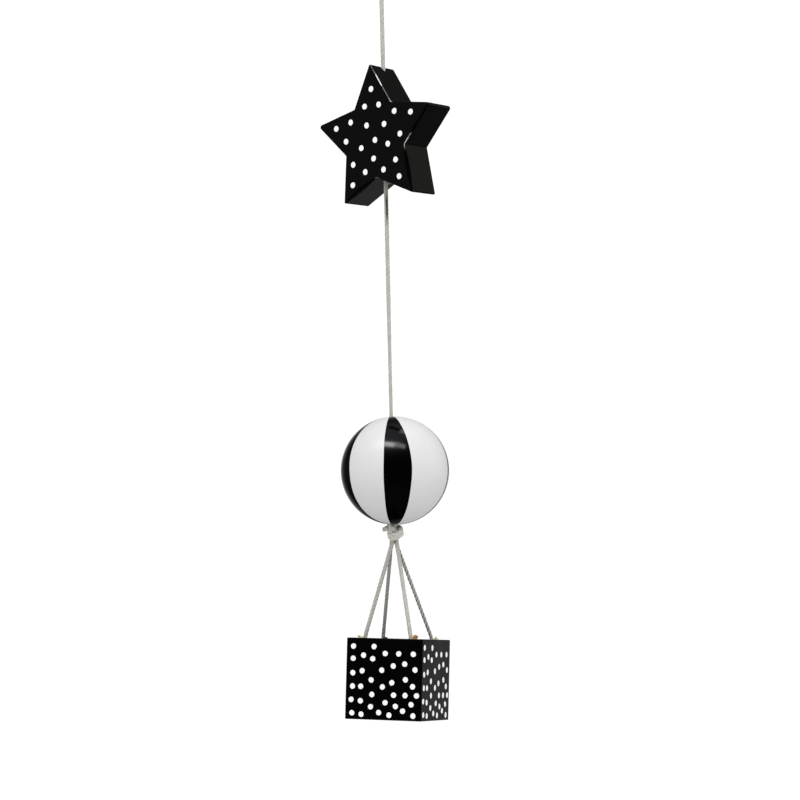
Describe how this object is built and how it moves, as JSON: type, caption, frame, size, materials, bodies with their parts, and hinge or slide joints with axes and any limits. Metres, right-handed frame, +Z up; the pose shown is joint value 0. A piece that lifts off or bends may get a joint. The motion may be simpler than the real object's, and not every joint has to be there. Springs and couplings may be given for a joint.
{
  "type": "baby mobile",
  "caption": "Hanging nursery mobile: a dotted wooden star and a banded wooden ball on a cotton cord, with a dotted block hung below like a balloon basket, and a loop at the top.",
  "frame": {"origin": "where the hook holds the strand: the inside of the crown of the cord's loop, at the very top", "axes": "+Z up along the hanging cord; the basket's front face looks along -Y and its sides along -X and +X, apart from the small tilt it hangs at"},
  "size_m": [0.0674, 0.05, 0.3807],
  "materials": {
    "black_lacquer": "glossy black paint on wood, with printed white dots",
    "white_lacquer": "glossy white paint on wood, with black gores",
    "cotton_cord": "twisted off-white cotton",
    "peg_wood": "bare split wood"
  },
  "bodies": {
    "root": {"hanging_loop": "cotton_cord", "loop_knot": "cotton_cord", "main_cord": "cotton_cord", "star": "black_lacquer", "ball": "white_lacquer", "gather_knot": "cotton_cord", "basket_string_1": "cotton_cord", "basket_string_2": "cotton_cord", "basket_string_3": "cotton_cord", "basket_string_4": "cotton_cord", "basket": "black_lacquer", "string_peg_1": "peg_wood", "string_peg_2": "peg_wood", "string_peg_3": "peg_wood", "string_peg_4": "peg_wood"}
  },
  "joints": []
}
